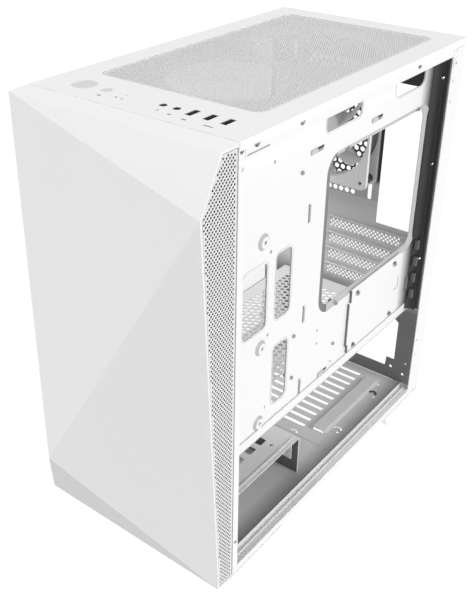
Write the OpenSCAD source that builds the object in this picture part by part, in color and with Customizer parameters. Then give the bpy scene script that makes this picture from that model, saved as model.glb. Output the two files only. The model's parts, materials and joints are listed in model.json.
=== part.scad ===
// Micro-ATX desktop computer tower: steel chassis, moulded covers and the pieces that move.
// Frame: +Z up, front at -Y, open cable side at +X, origin under the middle of the case at floor level.

/* [Case] */
// Width over the top cover
case_w = 215.2; // [205:0.2:235]
// Height of the top surface above the floor
case_top = 436; // [430:1:450]
// Distance from the origin to the rear edge of the top cover
cover_rear = 205.8; // [203:0.2:215]
// Thickness of the pressed sheet steel
steel = 0.8; // [0.6:0.1:1]
// Clear gap between pieces that move or lift off
gap = 0.4; // [0.3:0.05:0.6]
// Radius of the case screw holes
screw_r = 1.75; // [1.5:0.05:2]

/* [Front panel] */
// Distance from the origin to the back of the front panel
front_back = 162.5; // [160:0.5:165]
// Distance from the origin to the top edge of the face
face_top_y = 183; // [178:0.5:188]
// Distance from the origin to the forward corner of the face
face_tip_y = 205.8; // [195:0.2:215]
// Height of the forward corner
face_tip_z = 392.4; // [360:0.2:410]
// Distance from the origin to the lower left fold of the face
face_fold_y = 186.8; // [184:0.2:195]
// Height of the lower left fold
face_fold_z = 55.6; // [40:0.2:90]
// Height of the panel's lower edge
face_low_z = 18; // [17.5:0.5:24]
// Wall of the moulded front panel
panel_wall = 2.8; // [2:0.1:3.5]
// Width of the rim round the side meshes
mesh_rim = 2; // [2:0.5:6]

/* [Top cover] */
// Height of the cover's side band
band_h = 6.4; // [5:0.2:8]
// Wall of the moulded top cover
cover_wall = 2.2; // [1.6:0.1:3]
// Width of the top vent
vent_w = 170; // [140:1:180]
// Nearest edge of the top vent, measured forwards from the origin
vent_front = 106; // [90:1:110]
// Rear edge of the top vent
vent_rear = 181; // [150:1:190]

/* [Controls] */
// Line of the buttons and sockets, measured forwards from the origin
io_y = 134.8; // [128:0.2:140]
// Radius of the power button
power_r = 10.4; // [8:0.1:12]
// Travel of the power button
power_travel = 1.6; // [1:0.1:2]
// Radius of the reset button
reset_r = 4.6; // [3:0.1:6]
// Travel of the reset button
reset_travel = 1.2; // [0.8:0.1:1.6]

/* [Motherboard tray] */
// Outer face of the tray, measured from the middle of the case
tray_x = 91.5; // [88:0.5:92.5]
// Lower edge of the tray
tray_low = 135; // [134.6:0.2:138]
// Height of the lower hole row of the motherboard
board_row_z = 171.5; // [170:0.1:173]
// Distance from the origin to the rear hole column of the motherboard
board_col_y = 171.9; // [170:0.1:173]
// Height of the standoffs
standoff_h = 6.5; // [6:0.1:7]

/* [Fan] */
// Width of the rear fan frame
fan_w = 120; // [120:1:120]
// Depth of the rear fan frame
fan_d = 25; // [25:1:25]
// Distance between the fan's screw holes
fan_pitch = 105; // [105:1:105]
// Sideways place of the fan
fan_x = -20.8; // [-24:0.2:-18]
// Height of the fan's axis
fan_z = 330.8; // [325:0.2:340]

/* [Floor] */
// Height of the feet
foot_h = 17; // [14:0.5:20]
// Height of the raised floor inside the case
floor_z = 31.2; // [28:0.2:34]
// Number of long vent slots under the power supply
vent_count = 11; // [6:1:11]
// Distance between the long vent slots
vent_pitch = 12.15; // [11.5:0.05:12.4]
// Upper face of the power supply shroud
shroud_z = 134; // [134:0.2:134.4]
// Distance between expansion slots
slot_pitch = 20.32; // [20.32:0.01:20.32]

/* [Hidden] */
half_w = case_w / 2;
right_x = half_w - 0.8;
left_x = -half_w + 3.3;
glass_t = 3;
joint = 0.35;
wall_y = 180.8;
flange_rear = cover_rear - 1;
post_y = front_back - 7.5;
rail_low = case_top - 14.5;
frame_top = case_top - band_h - gap;
plate_top = frame_top;
plate_z = plate_top - steel;
floor_half = 96;
ledge_z = 24.3;
shroud_left = -74;
psu_x = 12;
psu_z = 42.4;
slot_top = 219.5;
slot_count = 4;
slot_left = -22;
slot_right = 88;
board_rows = [board_row_z + 203.2, board_row_z + 45.72, board_row_z];
board_cols = [board_col_y, board_col_y - 154.94, board_col_y - 227.33];
ssd_y = 95.5;
ssd_z = 179.7;
ssd_pitch_y = 76.6;
ssd_pitch_z = 61.7;
cage_x = [-66, 85.6];
cage_y = [-132, -24];
cage_top = 76.5;
foot_front = [-173, -81.4];
foot_rear = [123.7, 204.4];
glass_screw_y = [-150, 190];
glass_screw_z = [42, 412];
socket_z = case_top - 14.4;

// A box given by its two corners.
module span(low, high) {
    translate(low) cube(high - low);
}

// A sheet lying in the XY plane with rounded corners, given by its corners.
module round_sheet(low, high, radius, thick) {
    linear_extrude(thick)
        round_outline(low, high, radius);
}

// A rectangle with rounded corners.
module round_outline(low, high, radius) {
    union() {
        translate([low.x + radius, low.y]) square([high.x - low.x - 2 * radius, high.y - low.y]);
        translate([low.x, low.y + radius]) square([high.x - low.x, high.y - low.y - 2 * radius]);
        for (x = [low.x + radius, high.x - radius], y = [low.y + radius, high.y - radius])
            translate([x, y]) circle(radius, $fn = 32);
    }
}

// Turns an outline drawn as (y, z) into a plate across X, from x to x + thick.
module plate_x(x, thick) {
    translate([x, 0, 0]) rotate([90, 0, 90]) linear_extrude(thick) children();
}

// Turns an outline drawn as (x, z) into a plate across Y, from y to y + thick.
module plate_y(y, thick) {
    translate([0, y + thick, 0]) rotate([90, 0, 0]) linear_extrude(thick) children();
}

// A drill along X.
module drill_x(y, z, radius, x, length) {
    translate([x, y, z]) rotate([0, 90, 0]) cylinder(h = length, r = radius, $fn = 32);
}

// A drill along Y.
module drill_y(x, z, radius, y, length) {
    translate([x, y + length, z]) rotate([90, 0, 0]) cylinder(h = length, r = radius, $fn = 32);
}

// A drill along Z.
module drill_z(x, y, radius, z, length) {
    translate([x, y, z]) cylinder(h = length, r = radius, $fn = 32);
}

// Floor of the case: raised floor, ledges for the side panels, vents and the support bridge.
module bottom_pan() {
    color("gainsboro") difference() {
        union() {
            span([-floor_half + 1, -front_back + 1.5, floor_z - steel], [floor_half, wall_y - gap, floor_z]);
            pan_side(floor_half, right_x, 1);
            pan_side(-floor_half + 1, left_x, -1);
            psu_bridge(58.6, 77);
            psu_bridge(-62, -43.6);
            floor_lance(81.6, 65);
            floor_lance(80.4, 147);
        }
        for (i = [0:vent_count - 1])
            translate([0, 43.5 + i * vent_pitch, floor_z - 5])
                round_sheet([-37, -2.5], [51, 2.5], 2.4, 10);
        drill_z(85, 56, 1.6, floor_z - 5, 10);
        drill_z(85.5, 136.5, 1.6, floor_z - 5, 10);
        drill_z(77.4, 160.8, 1.6, floor_z - 5, 10);
    }
}

// One long side of the pan: drop to the ledge, bead, ledge and outer skirt.
module pan_side(inner_x, outer_x, way) {
    drop_x = inner_x - (way > 0 ? steel : 0);
    ledge = way > 0 ? [inner_x - steel, outer_x] : [outer_x, inner_x];
    skirt_x = way > 0 ? outer_x - steel : outer_x;
    bead_x = way > 0 ? inner_x + 3.2 : inner_x - 4.4;
    span([drop_x, -front_back + 1.5, ledge_z - steel], [drop_x + steel, wall_y - gap, floor_z]);
    span([ledge[0], -front_back + 1, ledge_z - steel], [ledge[1], flange_rear, ledge_z]);
    span([skirt_x, -front_back + 1, foot_h], [skirt_x + steel, flange_rear, ledge_z]);
    span([bead_x, -front_back + 8, ledge_z - steel], [bead_x + 1.2, flange_rear - 8, ledge_z + 1.6]);
}

// Raised bridge that carries the power supply, open at both ends.
module psu_bridge(x0, x1) {
    rise = 6;
    translate([0, 163, 0]) rotate([90, 0, 0]) linear_extrude(119) difference() {
        polygon([[x0, floor_z - 0.1], [x0 + 3, floor_z + rise], [x1 - 3, floor_z + rise],
            [x1, floor_z - 0.1]]);
        polygon([[x0 + 1.6, floor_z - 0.2], [x0 + 3.8, floor_z + rise - steel],
            [x1 - 3.8, floor_z + rise - steel], [x1 - 1.6, floor_z - 0.2]]);
    }
}

// Small arched lance that steadies the power supply.
module floor_lance(x, y) {
    translate([x, y + 1, floor_z - 0.1]) rotate([90, 0, 0]) linear_extrude(2) difference() {
        circle(4, $fn = 32);
        circle(3.2, $fn = 32);
        translate([-5, -10]) square([10, 10]);
    }
}

// Rear wall, set in from the edges of the case.
module rear_panel() {
    color("gainsboro") difference() {
        span([left_x + steel + 0.02, wall_y, floor_z + 0.02], [right_x - steel - 0.02, wall_y + steel,
            plate_z - gap]);
        plate_y(wall_y - 1, 3) io_outline();
        plate_y(wall_y - 1, 3) psu_outline();
        plate_y(wall_y - 1, 3) grille_outline();
        for (i = [0:slot_count - 1])
            plate_y(wall_y - 1, 3) slot_outline(slot_top - i * slot_pitch);
        for (x = [-fan_pitch / 2, fan_pitch / 2], z = [-fan_pitch / 2, fan_pitch / 2])
            plate_y(wall_y - 1, 3) fan_slot_outline(fan_x + x, fan_z + z);
        for (z = [43.2, 140.8, 244.9])
            drill_y(97, z, 1.6, wall_y - 1, 3);
        for (p = psu_holes())
            drill_y(p[0], p[1], 1.9, wall_y - 1, 3);
    }
}

// Flange along the cable side that reaches back to the cover's edge, with the side panel's holes.
module rear_flange_right() {
    color("gainsboro") difference() {
        union() {
            span([right_x - steel, wall_y, ledge_z + gap], [right_x, flange_rear, plate_z - gap]);
            drill_x(187.5, 414, 5.5, right_x - steel, 1.4);
        }
        drill_x(187.5, 414, screw_r, right_x - 3, 6);
        drill_x(186.1, plate_z - gap, 2.6, right_x - 3, 6);
        for (z = [72.9, 93.1, 376.2, 396.8])
            drill_x(186.2, z, 1.5, right_x - 3, 6);
    }
}

// Flange along the glass side.
module rear_flange_left() {
    color("gainsboro") difference() {
        span([left_x, wall_y, ledge_z + gap], [left_x + steel, flange_rear, plate_z - gap]);
        for (z = glass_screw_z)
            drill_x(glass_screw_y[1], z, 1.6, left_x - 2, 6);
    }
}

// Upright strip behind the wall that the slot covers are screwed to.
module slot_bracket() {
    color("gainsboro") difference() {
        span([slot_left + 0.2, wall_y + steel + 0.02, slot_top - slot_count * slot_pitch], [slot_left + 1,
            wall_y + 11, slot_top + 1]);
        for (i = [0:slot_count - 1])
            drill_x(wall_y + 6, slot_top - 10 - i * slot_pitch, 1.45, slot_left, 3);
    }
}

// Aperture for the motherboard's connectors.
module io_outline() {
    translate([42.6, 227.5]) square([44.45, 158.75]);
}

// Screw holes of a standard power supply, as (x, z).
function psu_holes() = [[psu_x + 69, psu_z + 6], [psu_x - 69, psu_z + 6], [psu_x - 69, psu_z + 70],
    [psu_x + 45, psu_z + 80]];

// Opening behind the power supply, kept clear of its screws.
module psu_outline() {
    left = psu_x - 62;
    right = psu_x + 72.5;
    polygon([[left, 47.1], [right - 11, 47.1], [right - 10, 59.3], [right, 59.3], [right, 110],
        [right - 8, 117], [psu_x + 37, 117], [psu_x + 37, 124], [left + 8, 124], [left + 8, 105],
        [left, 105]]);
}

// Field of the rear fan grille, bounded as an octagon.
module grille_outline() {
    side = 53;
    cut = 16;
    translate([fan_x, fan_z]) polygon([[-side + cut, -side - 20], [side - cut, -side - 20],
        [side - cut, -side], [side, -side + cut], [side, side - cut], [side - cut, side], [side - cut, side + 20],
        [-side + cut, side + 20], [-side + cut, side], [-side, side - cut], [-side, -side + cut],
        [-side + cut, -side]]);
}

// Upright slot that lets the fan be screwed on at several heights.
module fan_slot_outline(x, z) {
    way = z > fan_z ? 1 : -1;
    round_outline([x - 2.4, min(z - way * 6, z + way * 27)], [x + 2.4, max(z - way * 6, z + way * 27)], 2.3);
}

// Window behind one expansion slot cover.
module slot_outline(top) {
    translate([slot_left + 1.2, top - 16]) square([slot_right - slot_left - 6, 12.5]);
    translate([slot_left - 1.4, top - 19.2]) square([5, 18.8]);
}

// Tray that carries the motherboard, with its cooler cut-out and cable slots.
module motherboard_tray() {
    color("white") difference() {
        union() {
            span([tray_x - steel, -front_back + 3, tray_low], [tray_x, wall_y - 5, plate_z - gap]);
            tray_bend();
            span([tray_x - steel, -front_back + 1.8, tray_low],
                [tray_x + 12, -front_back + 2.6, plate_z - gap]);
            plate_x(tray_x - 4, 4) difference() {
                round_outline([-13.5, 220.7], [169.7, 372.2], 14.8);
                cooler_outline();
            }
            for (z = [151, 231.5, 332.5])
                boss_x(-107, z);
        }
        plate_x(tray_x - 8, 12) cooler_outline();
        plate_x(tray_x - 8, 12) cable_outlines();
        for (z = [151, 231.5, 332.5])
            drill_x(-107, z, 1.9, tray_x - 5, 12);
        for (p = board_points())
            drill_x(p[0], p[1], 1.9, tray_x - 5, 12);
        for (p = tray_small_holes())
            drill_x(p[0], p[1], 1.6, tray_x - 5, 12);
        for (y = [-ssd_pitch_y / 2, ssd_pitch_y / 2], z = [-ssd_pitch_z / 2, ssd_pitch_z / 2])
            drill_x(ssd_y + y, ssd_z + z, 1.5, tray_x - 5, 12);
    }
}

// Rounded rear edge of the tray, turning out along the rear wall.
module tray_bend() {
    bend = 7;
    translate([tray_x - steel + bend, wall_y - 0.3 - bend, tray_low]) intersection() {
        difference() {
            cylinder(h = plate_z - gap - tray_low, r = bend, $fn = 48);
            translate([0, 0, -1]) cylinder(h = plate_z, r = bend - steel, $fn = 48);
        }
        translate([-bend - 1, 0, 0]) cube([bend + 1, bend + 1, plate_z]);
    }
    span([tray_x - steel, wall_y - 6, tray_low], [tray_x, wall_y - 0.3 - bend + 0.1, plate_z - gap]);
    span([tray_x - steel + bend - 0.1, wall_y - 0.3 - steel, tray_low],
        [tray_x + 10, wall_y - 0.3, plate_z - gap]);
}

// Cut-out behind the processor.
module cooler_outline() {
    round_outline([-12.7, 221.5], [168.9, 371.4], 14);
}

// Openings that cables pass through.
module cable_outlines() {
    round_outline([-133.7, 249.8], [-100.4, 312.3], 5);
    round_outline([-87, 249], [-64.6, 313], 5);
    round_outline([-87, 159], [-65, 221.5], 5);
    round_outline([-21, 398.3], [36.4, 419], 4);
    round_outline([98, 397.5], [157, 419], 8);
}

// Places of the motherboard's screws, as (y, z).
function board_points() = concat(
    [[board_cols[0] - 22.86, board_rows[0]], [board_cols[1], board_rows[0]], [board_cols[2], board_rows[0]]],
    [for (z = [board_rows[1], board_rows[2]], y = board_cols) [y, z]]);

// Spare screw and clip holes of the tray, as (y, z).
function tray_small_holes() = [[-95.3, 396.5], [-96.2, 319.3], [-96.8, 239.7], [-97.3, 163.1], [-14.4, 202.3],
    [-14, 187], [15.1, 151.3]];

// Raised boss for a drive screw.
module boss_x(y, z) {
    translate([tray_x, y, z]) rotate([0, 90, 0]) cylinder(h = 2.2, r1 = 6.9, r2 = 5, $fn = 40);
}

// Front wall of the chassis with two fan openings and the front posts.
module front_plate() {
    color("gainsboro") difference() {
        union() {
            span([left_x, -front_back + 0.3, ledge_z + gap],
                [right_x, -front_back + 0.3 + steel, plate_z - gap]);
            span([right_x - steel, -front_back + 0.3, ledge_z + gap], [right_x, -post_y, plate_z - gap]);
            span([left_x, -front_back + 0.3, ledge_z + gap], [left_x + steel, -140, plate_z - gap]);
        }
        for (z = [205, 330])
            drill_y(0, z, 57, -front_back - 1, 3);
        for (x = [-fan_pitch / 2, fan_pitch / 2], z = [205 - fan_pitch / 2, 205 + fan_pitch / 2,
            330 - fan_pitch / 2, 330 + fan_pitch / 2])
            drill_y(x, z, 2.2, -front_back - 1, 3);
        for (z = clip_heights(), x = [-85, 84])
            plate_y(-front_back - 1, 3) translate([x - 2.5, z - 4]) square([5, 8]);
        plate_y(-front_back - 1, 3) round_outline([-60, 45], [60, 120], 6);
        for (z = [56, 414.5])
            drill_x(-front_back + 4.2, z, screw_r, right_x - 3, 6);
        drill_x(-front_back + 3.9, plate_z - gap, 2.4, right_x - 3, 6);
        for (z = glass_screw_z)
            drill_x(glass_screw_y[0], z, 1.6, left_x - 2, 6);
    }
}

// Heights of the front panel's clips.
function clip_heights() = [60, 140, 270, 395];

// Roof of the chassis with its side rails and two fan openings.
module top_frame() {
    color("gainsboro") difference() {
        union() {
            span([left_x, -front_back + 0.3, plate_z], [right_x, flange_rear, plate_top]);
            span([right_x - steel, -post_y + gap, rail_low], [right_x, wall_y - gap, plate_top]);
            span([right_x - 9, -post_y + gap, rail_low], [right_x, wall_y - 2, rail_low + steel]);
            span([left_x, -139.6, rail_low], [left_x + steel, wall_y - gap, plate_top]);
            span([left_x, -139.6, rail_low], [left_x + 9, wall_y - 2, rail_low + steel]);
        }
        for (y = [-30, 100])
            drill_z(0, y, 58, plate_z - 2, 5);
        for (y = [-30 - fan_pitch / 2, -30 + fan_pitch / 2, 100 - fan_pitch / 2, 100 + fan_pitch / 2],
            x = [-fan_pitch / 2, fan_pitch / 2])
            drill_z(x, y, 2.2, plate_z - 2, 5);
        translate([0, 0, plate_z - 2]) round_sheet([-90, -152], [90, -118], 4, 5);
        for (y = [-82.6, 108.8])
            drill_x(y, plate_top, 3.6, right_x - 3, 6);
        drill_x(-140.5, plate_top, 3.6, right_x - 3, 6);
        span([right_x - 3, -post_y + 2.4, rail_low + steel], [right_x + 1, -125, rail_low + steel + 1.3]);
    }
}

// Cover over the power supply: top plate, window-side wall and the strip along the tray.
module psu_shroud() {
    color("gainsboro") difference() {
        union() {
            span([shroud_left, -front_back + 3, shroud_z - steel],
                [tray_x + gap + steel, wall_y - 1, shroud_z]);
            span([shroud_left, -front_back + 3, floor_z + 0.1], [shroud_left + steel, wall_y - 1, shroud_z]);
            span([tray_x + gap, -front_back + 4, shroud_z - steel], [tray_x + gap + steel, wall_y - 9, 144]);
        }
        translate([0, 0, shroud_z - 5]) round_sheet([53.5, -140], [tray_x - 4, -4], 3, 10);
        plate_x(shroud_left - 2, 5) round_outline([-10, 74.5], [133, 118], 4);
    }
}

// Screwed plate that holds a small drive on the back of the tray.
module ssd_plate() {
    color("white") difference() {
        plate_x(tray_x + 0.05, 1) ssd_plate_outline();
        for (y = [-ssd_pitch_y / 2, ssd_pitch_y / 2], z = [-ssd_pitch_z / 2, ssd_pitch_z / 2])
            drill_x(ssd_y + y, ssd_z + z, 1.6, tray_x - 2, 5);
        plate_x(tray_x - 2, 5) round_outline([138, 176], [149, 190], 2);
    }
}

// Stepped outline of the drive plate.
module ssd_plate_outline() {
    polygon([[43.6, 146], [43.6, 154], [40.6, 156], [40.6, 204], [43.6, 206], [43.6, 218.8], [146, 218.8],
        [152, 213], [152, 146]]);
}

// Screws of the drive plate.
module ssd_plate_screws() {
    color("silver") for (y = [-ssd_pitch_y / 2, ssd_pitch_y / 2], z = [-ssd_pitch_z / 2, ssd_pitch_z / 2])
        pan_screw_x(tray_x + 1.05, ssd_y + y, ssd_z + z, 1);
}

// Pan-head screw whose head faces +X or -X.
module pan_screw_x(x, y, z, way) {
    translate([x, y, z]) rotate([0, 90 * way, 0]) difference() {
        union() {
            cylinder(h = 2, r1 = 3.2, r2 = 2.4, $fn = 32);
            translate([0, 0, -4]) cylinder(h = 4.1, r = 1.4, $fn = 24);
        }
        for (turn = [0, 90])
            rotate(turn) translate([-1.7, -0.35, 1]) cube([3.4, 0.7, 2]);
    }
}

// Threaded standoffs that carry the motherboard.
module board_standoffs() {
    color("goldenrod") for (p = board_points())
        translate([tray_x - steel - standoff_h - 0.02, p[0], p[1]]) rotate([0, 90, 0]) difference() {
            union() {
                rotate(30) cylinder(h = standoff_h, r = 2.65, $fn = 6);
                cylinder(h = standoff_h + 2.2, r = 1.7, $fn = 24);
            }
            translate([0, 0, -1]) cylinder(h = standoff_h, r = 1.45, $fn = 24);
        }
}

// Drive cage at the front of the floor, open towards the cable side.
module drive_cage() {
    color("gainsboro") difference() {
        union() {
            span([cage_x[0], cage_y[0], cage_top - steel], [cage_x[1], cage_y[1], cage_top]);
            span([cage_x[0], cage_y[0], floor_z + 0.1], [cage_x[1], cage_y[0] + steel, cage_top]);
            span([cage_x[0], cage_y[1] - steel, floor_z + 0.1], [cage_x[1], cage_y[1], cage_top]);
            span([cage_x[0], cage_y[0], floor_z + 0.1], [cage_x[0] + steel, cage_y[1], cage_top]);
            span([cage_x[1] - 6, cage_y[0], cage_top - 0.1],
                [cage_x[1] - 4.4, cage_y[1] - 4, cage_top + 0.8]);
        }
        for (y = [-89, -70.5, -53])
            translate([0, y, cage_top - 5]) round_sheet([10, -5.3], [62, 5.3], 2, 8);
        drill_z(69.9, -50.6, 2, cage_top - 5, 8);
        drill_z(69.9, -112, 2, cage_top - 5, 8);
        for (y = [cage_y[0] - 1, cage_y[1] - 2], x = [20, 61.5])
            drill_y(x, 46, 1.9, y, 3);
    }
}

// Upright tab inside the cage that stops a drive.
module drive_cage_bracket() {
    color("gainsboro") difference() {
        union() {
            span([60, cage_y[1] - 12, cage_top - 1.6], [84, cage_y[1] - 1.2, cage_top - 0.85]);
            span([60, cage_y[1] - 12, 56], [84, cage_y[1] - 11.2, cage_top - 0.85]);
        }
        for (x = [66, 78])
            drill_y(x, 64, 1.6, cage_y[1] - 14, 5);
    }
}

// One vented expansion slot cover with its screw tab.
module slot_cover(index) {
    top = slot_top - index * slot_pitch;
    color("white") difference() {
        union() {
            span([slot_left - 0.8, wall_y - 1.1, top - 18.4], [slot_right - 1, wall_y - 0.2, top]);
            span([slot_left - 0.8, wall_y - 1.1, top - 18.4], [slot_left + 0.1, wall_y + 10.5, top - 1.2]);
            span([slot_left + 2, wall_y - 2.6, top - 1], [slot_right - 4, wall_y - 1, top]);
        }
        drill_x(wall_y + 6, top - 10, 1.9, slot_left - 3, 6);
    }
}

module slot_cover_1() { slot_cover(0); }
module slot_cover_2() { slot_cover(1); }
module slot_cover_3() { slot_cover(2); }
module slot_cover_4() { slot_cover(3); }

// Screws that hold the slot covers.
module slot_cover_screws() {
    color("silver") for (i = [0:slot_count - 1])
        pan_screw_x(slot_left - 0.8, wall_y + 6, slot_top - 10 - i * slot_pitch, -1);
}

// Frame of the rear fan with its four struts and bearing tube.
module rear_fan_frame() {
    color("white") translate([fan_x, wall_y - 0.2, fan_z]) rotate([90, 0, 0]) difference() {
        union() {
            difference() {
                translate([0, 0, 0]) round_sheet([-fan_w / 2, -fan_w / 2], [fan_w / 2, fan_w / 2], 6, fan_d);
                translate([0, 0, -1]) cylinder(h = fan_d + 2, r = 57.5, $fn = 96);
                translate([0, 0, 4]) fan_side_pockets();
            }
            translate([0, 0, 0.5]) cylinder(h = 3, r = 20, $fn = 48);
            translate([0, 0, 0.5]) difference() {
                cylinder(h = 16, r = 5, $fn = 32);
                translate([0, 0, 3]) cylinder(h = 16, r = 2.05, $fn = 32);
            }
            for (turn = [45:90:315])
                rotate(turn) translate([18, -2, 0.5]) cube([41, 4, 3]);
        }
        for (x = [-fan_pitch / 2, fan_pitch / 2], y = [-fan_pitch / 2, fan_pitch / 2])
            translate([x, y, -1]) cylinder(h = fan_d + 2, r = 2.15, $fn = 32);
    }
}

// Waist between the two flanges of the fan frame.
module fan_side_pockets() {
    for (turn = [0, 90, 180, 270])
        rotate(turn) translate([-42, 58.6, 0]) cube([84, 5, fan_d - 8]);
}

// Hub, shaft and blades of the rear fan.
module rear_fan_rotor() {
    blades = 9;
    color("white") translate([fan_x, wall_y - 0.2, fan_z]) rotate([90, 0, 0]) {
        difference() {
            translate([0, 0, 5]) cylinder(h = 17, r = 19.5, $fn = 64);
            translate([0, 0, 4.9]) cylinder(h = 14.1, r = 17.5, $fn = 64);
        }
        translate([0, 0, 4.5]) cylinder(h = 15.5, r = 2, $fn = 32);
        for (i = [0:blades - 1])
            rotate(i * 360 / blades) fan_blade();
    }
}

// One blade, pitched between the hub and the ring.
module fan_blade() {
    translate([18.5, 0, 13]) rotate([58, 0, 0]) translate([0, -9.5, -0.7]) cube([36, 19, 1.4]);
}

// Self-tapping screws of the rear fan, seated from behind the wall.
module rear_fan_screws() {
    color("silver") for (x = [-fan_pitch / 2, fan_pitch / 2], z = [-fan_pitch / 2, fan_pitch / 2])
        translate([fan_x + x, wall_y + steel + 0.05, fan_z + z]) rotate([-90, 0, 0]) {
            cylinder(h = 2.2, r1 = 4, r2 = 3, $fn = 32);
            translate([0, 0, -8]) cylinder(h = 8.1, r = 2.1, $fn = 24);
        }
}

// Moulded top cover with its vent, buttons and socket holes.
module top_cover() {
    low = case_top - band_h;
    color("white") difference() {
        span([-half_w, -front_back + joint, low], [half_w, cover_rear, case_top]);
        span([-half_w + cover_wall, -front_back + joint + cover_wall, low - 1],
            [half_w - cover_wall, cover_rear - cover_wall, case_top - cover_wall]);
        translate([0, 0, low - 1]) round_sheet([-vent_w / 2, -vent_front], [vent_w / 2, vent_rear], 10, 12);
        drill_z(-70.4, -io_y, power_r + 0.3, low - 1, 12);
        drill_z(-45.4, -io_y, reset_r + 0.3, low - 1, 12);
        for (x = [-29.7, -23.4])
            drill_z(x, -io_y, 1.1, low - 1, 12);
        for (x = [14.4, 27.9])
            drill_z(x, -io_y, 3.4, low - 1, 12);
        for (x = [43.3, 60.1, 76.4])
            translate([x - 3.1, -io_y - 6.8, low - 1]) cube([6.2, 13.6, 12]);
    }
}

// Perforated dust screen that lifts out of the top cover.
module top_vent_mesh() {
    color("whitesmoke") translate([0, 0, case_top - 1.6])
        round_sheet([-vent_w / 2 + gap, -vent_front + gap], [vent_w / 2 - gap, vent_rear - gap], 9.6, 1.2);
    color("whitesmoke") vent_frame();
}

// Rim under the dust screen, which rests on the roof of the chassis.
module vent_frame() {
    low = plate_top + 0.02;
    translate([0, 0, low]) difference() {
        round_sheet([-vent_w / 2 + gap, -vent_front + gap], [vent_w / 2 - gap, vent_rear - gap], 9.6,
            case_top - 1.5 - low);
        translate([0, 0, -1])
            round_sheet([-vent_w / 2 + 4, -vent_front + 4], [vent_w / 2 - 4, vent_rear - 4], 7, 12);
    }
}

// Push button whose flange stops it under the cover.
module push_button(x, radius, stem_low) {
    translate([x, -io_y, 0]) {
        translate([0, 0, case_top - cover_wall - 1.6]) cylinder(h = cover_wall + 1.4, r = radius, $fn = 64);
        translate([0, 0, case_top - cover_wall - 1.6]) cylinder(h = 1.2, r = radius + 1.2, $fn = 64);
        translate([0, 0, stem_low]) cylinder(h = case_top - cover_wall - 1.5 - stem_low, r = 1.8, $fn = 32);
    }
}

module power_button() { color("whitesmoke") push_button(-70.4, power_r, socket_z + 5); }
module reset_button() { color("whitesmoke") push_button(-45.4, reset_r, socket_z + 4.6); }

// Clear pin that carries light up from the board.
module light_pipe(x) {
    color("lightblue", 0.6) translate([x, -io_y, socket_z + 0.02])
        cylinder(h = case_top - socket_z - 0.3, r = 0.95, $fn = 24);
}

module power_light_pipe() { light_pipe(-29.7); }
module drive_light_pipe() { light_pipe(-23.4); }

// Circuit board under the controls, with the two switches.
module io_board() {
    color("seagreen") span([-86, -io_y - 13, socket_z - 1.6], [86, -io_y + 13, socket_z]);
    color("black") for (x = [-70.4, -45.4])
        translate([x, -io_y, socket_z - 0.1]) {
            translate([-3, -3, 0]) cube([6, 6, 2]);
            cylinder(h = 3.1, r = 1.7, $fn = 24);
        }
}

// Shells and tongues of the three USB sockets.
module usb_sockets() {
    for (x = [43.3, 60.1, 76.4])
        translate([x, -io_y, socket_z + 0.02]) {
            color("silver") difference() {
                translate([-2.85, -6.55, 0]) cube([5.7, 13.1, 14]);
                translate([-2.5, -6.2, 1]) cube([5, 12.4, 14]);
            }
            color("black") translate([-0.9, -5.6, 0.9]) cube([1.8, 11.2, 11]);
        }
}

// Two round sockets for headphones and microphone.
module audio_sockets() {
    color("black") for (x = [14.4, 27.9])
        translate([x, -io_y, socket_z + 0.02]) difference() {
            union() {
                translate([-4, -5, 0]) cube([8, 10, 10]);
                cylinder(h = 13.9, r = 3.2, $fn = 48);
            }
            translate([0, 0, 1]) cylinder(h = 14, r = 1.8, $fn = 32);
        }
}

// Corners of the faceted face: inset shrinks the sides, set moves the face back.
function face_points(inset, set) = [
    [-half_w + inset, -face_top_y + set, case_top - 1.1 - inset],
    [half_w - inset, -face_top_y + set, case_top - 1.1 - inset],
    [half_w - inset, -face_tip_y + set, face_tip_z],
    [half_w - inset, -face_top_y - 0.9 + set, face_low_z + inset],
    [-half_w + inset, -face_top_y - 0.9 + set, face_low_z + inset],
    [-half_w + inset, -face_fold_y + set, face_fold_z],
    [-half_w + inset, -front_back, case_top - inset],
    [half_w - inset, -front_back, case_top - inset],
    [half_w - inset, -front_back, face_low_z + inset],
    [-half_w + inset, -front_back, face_low_z + inset]];

// Closed solid between the faceted face and the plane of the chassis.
module face_solid(inset, set, back) {
    points = [for (p = face_points(inset, set)) p.y == -front_back ? [p.x, p.y + back, p.z] : p];
    polyhedron(points, [[0, 1, 2], [0, 2, 5], [5, 2, 3], [5, 3, 4], [1, 7, 8, 3, 2], [0, 5, 4, 9, 6],
        [0, 6, 7, 1], [4, 3, 8, 9], [6, 9, 8, 7]]);
}

// Side window of the front panel, as (y, z).
module side_outline(tip_y, tip_z, rim) {
    rear = -front_back - 0.8 - (rim - mesh_rim);
    polygon([[rear, case_top - 1.5 - rim], [-face_top_y + rim, case_top - 1.5 - rim],
        [-tip_y + rim * 1.2, tip_z], [-face_top_y - 0.9 + rim, face_low_z + rim], [rear, face_low_z + rim]]);
}

// Moulded front panel: a folded face with open sides for the meshes.
module front_panel() {
    color("white") difference() {
        face_solid(0, 0, 0);
        face_solid(panel_wall, panel_wall, 1);
        plate_x(half_w - 6, 12) side_outline(face_tip_y, face_tip_z, mesh_rim);
        plate_x(-half_w - 6, 12) side_outline(face_fold_y, face_fold_z, mesh_rim);
    }
}

// Snap clips that reach through the front plate.
module front_panel_clips() {
    color("white") for (z = clip_heights(), x = [-85, 84])
        translate([x, 0, z]) {
            span([-1.6, -front_back - 6, -3], [1.6, -front_back + 8, 3]);
            clip_post(x, z);
        }
}

// Post that ties one clip to the inner side of the sloping face.
module clip_post(x, z) {
    intersection() {
        span([-5, -face_tip_y, -5], [5, -front_back - 5, 5]);
        translate([-x, 0, -z]) face_solid(panel_wall + 0.02, panel_wall + 0.02, 1);
    }
}

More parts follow.
